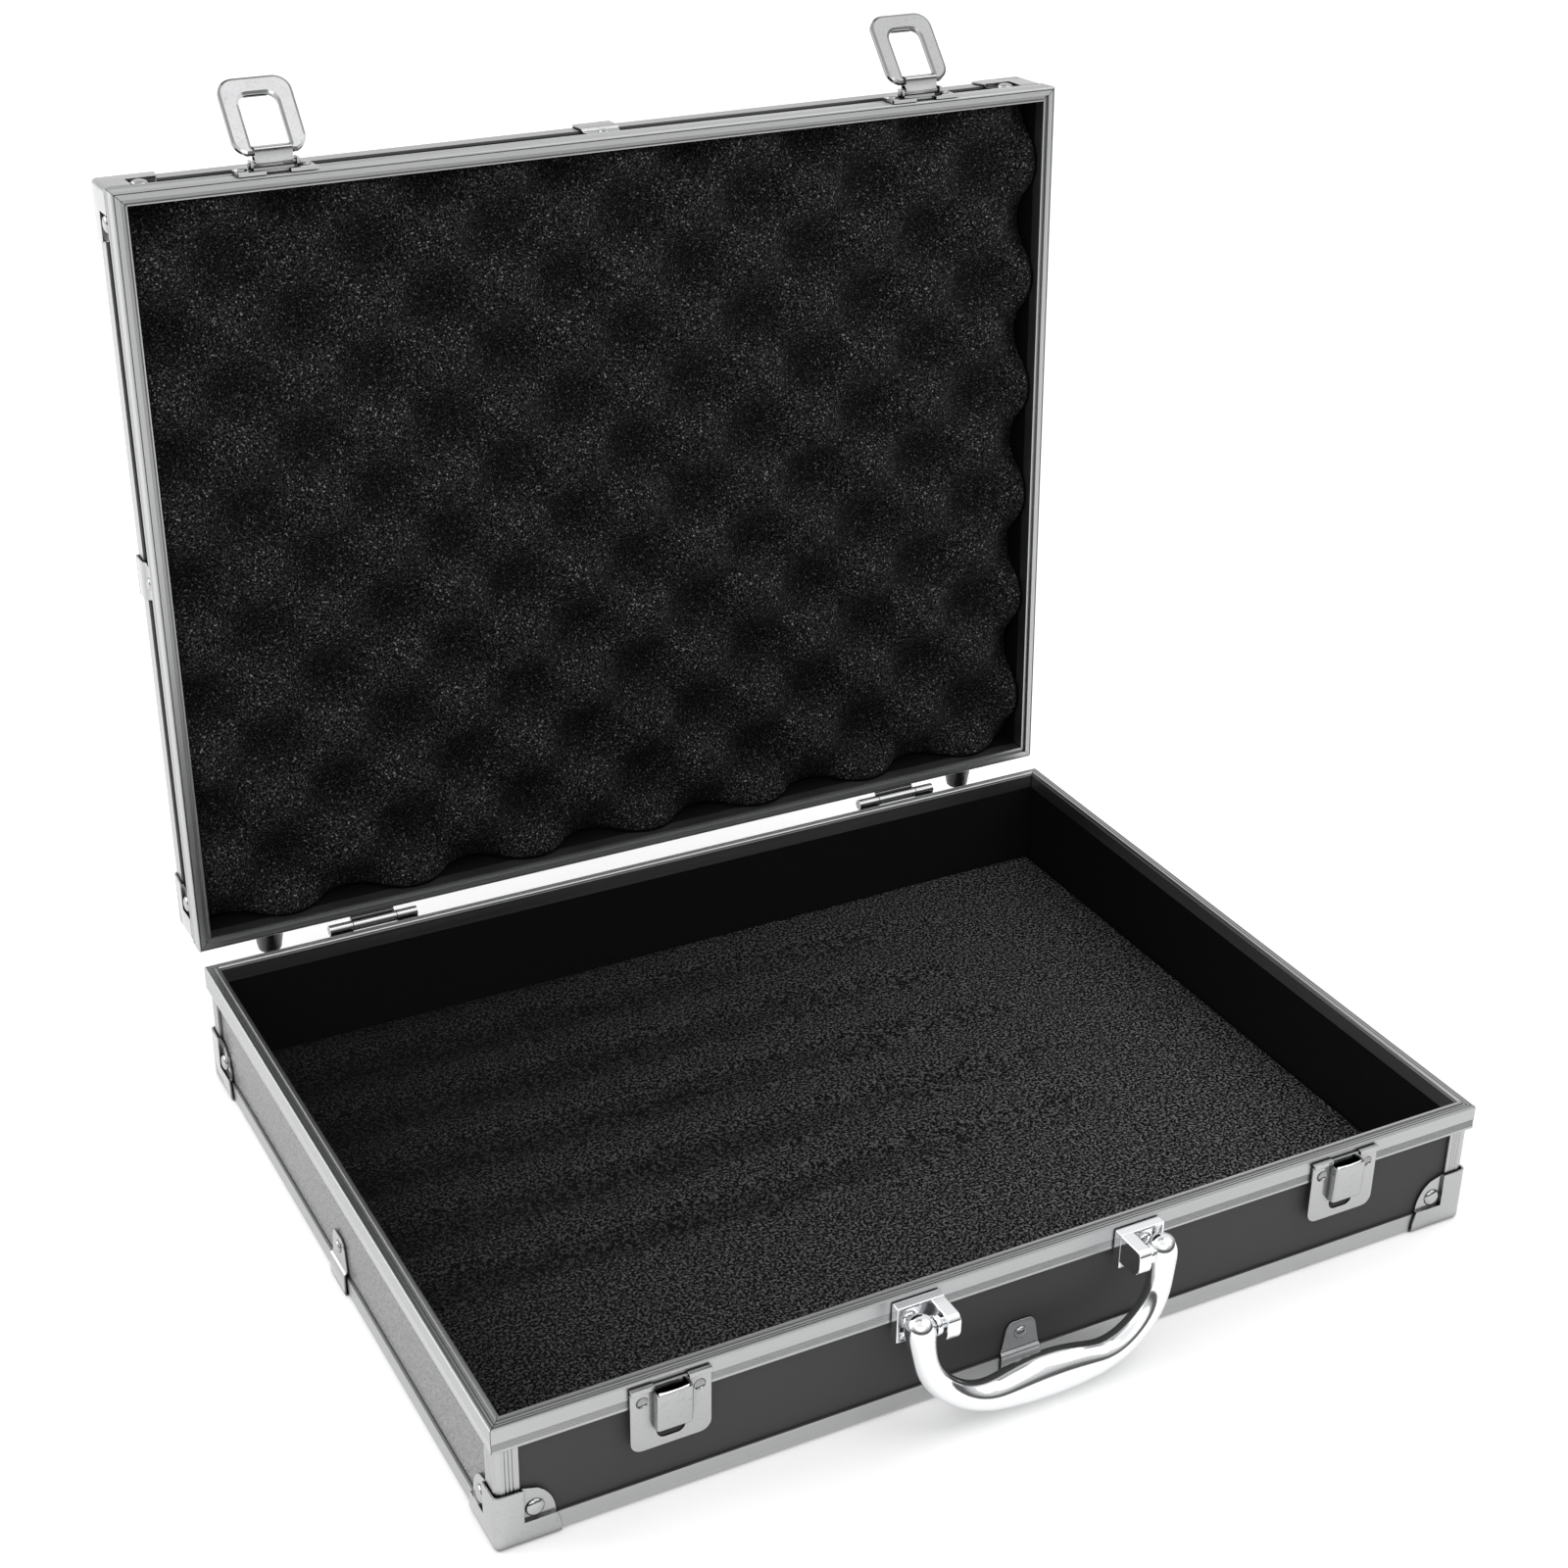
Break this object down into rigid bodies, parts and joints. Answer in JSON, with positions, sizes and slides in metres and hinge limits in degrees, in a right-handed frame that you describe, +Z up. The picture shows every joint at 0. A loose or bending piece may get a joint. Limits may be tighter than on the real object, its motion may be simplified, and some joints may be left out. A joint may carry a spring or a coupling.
{
  "type": "attache case",
  "caption": "Attache case with mitred aluminium frames, black panels, foam linings, chromed corners, draw catches and a swinging handle, its lid standing open.",
  "frame": {"origin": "on the floor, in the middle of the open case's footprint; z = 0 is the underside of the pressed corners", "axes": "+X to the right along the hinge line, +Y to the back, +Z up; the handle and the keepers are on the -Y side"},
  "size_m": [0.4026, 0.3804, 0.3957],
  "materials": {
    "aluminium": "satin drawn and ribbed extrusion",
    "chrome": "bright plated pressings and castings",
    "black_panel": "black sheet with a fine satin grain",
    "black_plastic": "glossy black moulding",
    "lining_card": "smooth dull black lining",
    "foam": "soft open-cell charcoal foam"
  },
  "bodies": {
    "base": {"base_bottom_panel": "black_panel", "base_front_panel": "black_panel", "base_frame_front": "aluminium", "base_right_panel": "black_panel", "base_frame_right": "aluminium", "base_back_panel": "black_panel", "base_frame_back": "aluminium", "base_left_panel": "black_panel", "base_frame_left": "aluminium", "base_bottom_trim": "aluminium", "corner_post_front_left": "aluminium", "base_corner_front_left": "chrome", "corner_post_front_right": "aluminium", "base_corner_front_right": "chrome", "corner_post_back_left": "aluminium", "base_corner_back_left": "chrome", "corner_post_back_right": "aluminium", "base_corner_back_right": "chrome", "base_clip_front": "chrome", "base_clip_right": "chrome", "base_clip_left": "chrome", "base_lining": "lining_card", "base_foam": "foam", "hinge_base_leaf_left": "chrome", "hinge_pin_left": "chrome", "base_rear_foot_left": "black_plastic", "keeper_left": "chrome", "handle_bracket_left": "chrome", "hinge_base_leaf_right": "chrome", "hinge_pin_right": "chrome", "base_rear_foot_right": "black_plastic", "keeper_right": "chrome", "handle_bracket_right": "chrome"},
    "lid": {"lid_rear_foot_left": "black_plastic", "lid_rear_foot_right": "black_plastic", "lid_top_panel": "black_panel", "lid_side_walls": "black_panel", "lid_frame_front": "aluminium", "lid_frame_right": "aluminium", "lid_frame_back": "aluminium", "lid_frame_left": "aluminium", "lid_edge_trim": "aluminium", "lid_corner_front_left": "chrome", "lid_corner_front_right": "chrome", "lid_corner_back_left": "chrome", "lid_corner_back_right": "chrome", "lid_clip_front": "chrome", "lid_clip_right": "chrome", "lid_clip_left": "chrome", "lid_lining": "lining_card", "lid_foam": "foam", "hasp_plate_left": "chrome", "hasp_plate_right": "chrome", "hinge_lid_leaf_left": "chrome", "hinge_lid_leaf_right": "chrome"},
    "hasp_link_left": {"hasp_link_left": "chrome"},
    "hasp_link_right": {"hasp_link_right": "chrome"},
    "hasp_loop_left": {"hasp_loop_left": "chrome"},
    "hasp_loop_right": {"hasp_loop_right": "chrome"},
    "handle": {"handle": "chrome"}
  },
  "joints": [
    {"name": "lid_hinge", "type": "hinge", "parent": "base", "child": "lid", "pos_m": [0, 0.1453, 0.05215], "axis": [1, 0, 0], "range_deg": [0, 92.5]},
    {"name": "handle_pivot", "type": "hinge", "parent": "base", "child": "handle", "pos_m": [0, -0.1797, 0.045], "axis": [-1, 0, 0], "range_deg": [0, 165]},
    {"name": "hasp_link_left", "type": "hinge", "parent": "lid", "child": "hasp_link_left", "pos_m": [-0.1375, 0.16527, 0.36848], "axis": [1, 0, 0], "range_deg": [0, 88]},
    {"name": "hasp_loop_left", "type": "hinge", "parent": "hasp_link_left", "child": "hasp_loop_left", "pos_m": [-0.1375, 0.16646, 0.37293], "axis": [1, 0, 0], "range_deg": [0, 42]},
    {"name": "hasp_link_right", "type": "hinge", "parent": "lid", "child": "hasp_link_right", "pos_m": [0.1375, 0.16527, 0.36848], "axis": [1, 0, 0], "range_deg": [0, 88]},
    {"name": "hasp_loop_right", "type": "hinge", "parent": "hasp_link_right", "child": "hasp_loop_right", "pos_m": [0.1375, 0.16646, 0.37293], "axis": [1, 0, 0], "range_deg": [0, 42]}
  ]
}
